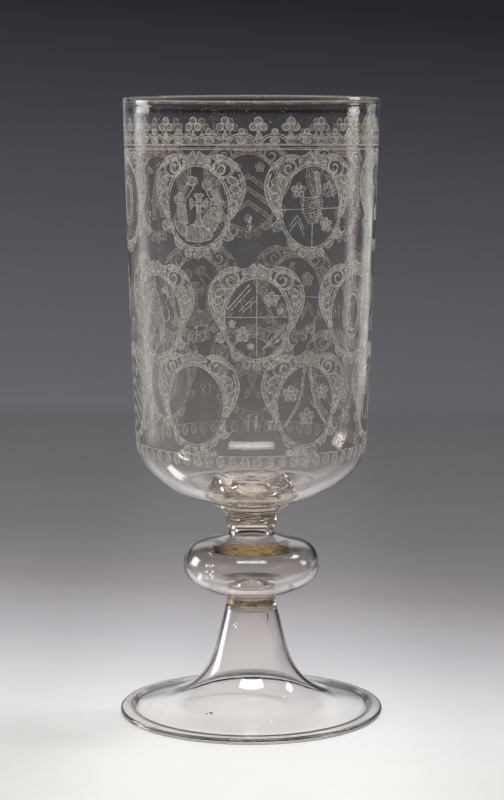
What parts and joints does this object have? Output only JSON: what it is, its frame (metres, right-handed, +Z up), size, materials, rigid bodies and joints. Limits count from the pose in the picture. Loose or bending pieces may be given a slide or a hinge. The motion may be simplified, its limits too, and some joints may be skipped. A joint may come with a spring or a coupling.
{
  "type": "stemmed glass goblet",
  "caption": "Tall straight-sided blown glass goblet with engraved bowl, hollow flattened knop, gilded collars and trumpet foot with folded rim.",
  "frame": {"origin": "centre of the foot, on the plane that the goblet stands on", "axes": "+Z up along the stem, the axis that every piece is turned about; +X to the right and +Y away from the viewer of the picture"},
  "size_m": [0.116, 0.116, 0.27],
  "materials": {
    "bowl_glass": "clear, thin, faintly warm grey, with fine frosted line engraving on the outside",
    "stem_glass": "clear, faintly lilac grey, smooth",
    "foot_glass": "clear, faintly lilac grey, fire polished",
    "gilded_glass": "amber brown glass with streaky, worn gold leaf"
  },
  "bodies": {
    "root": {"bowl": "bowl_glass", "upper_collar": "gilded_glass", "knop": "stem_glass", "lower_collar": "gilded_glass", "foot": "foot_glass", "foot_fold": "foot_glass", "pontil_scar": "foot_glass"}
  },
  "joints": []
}
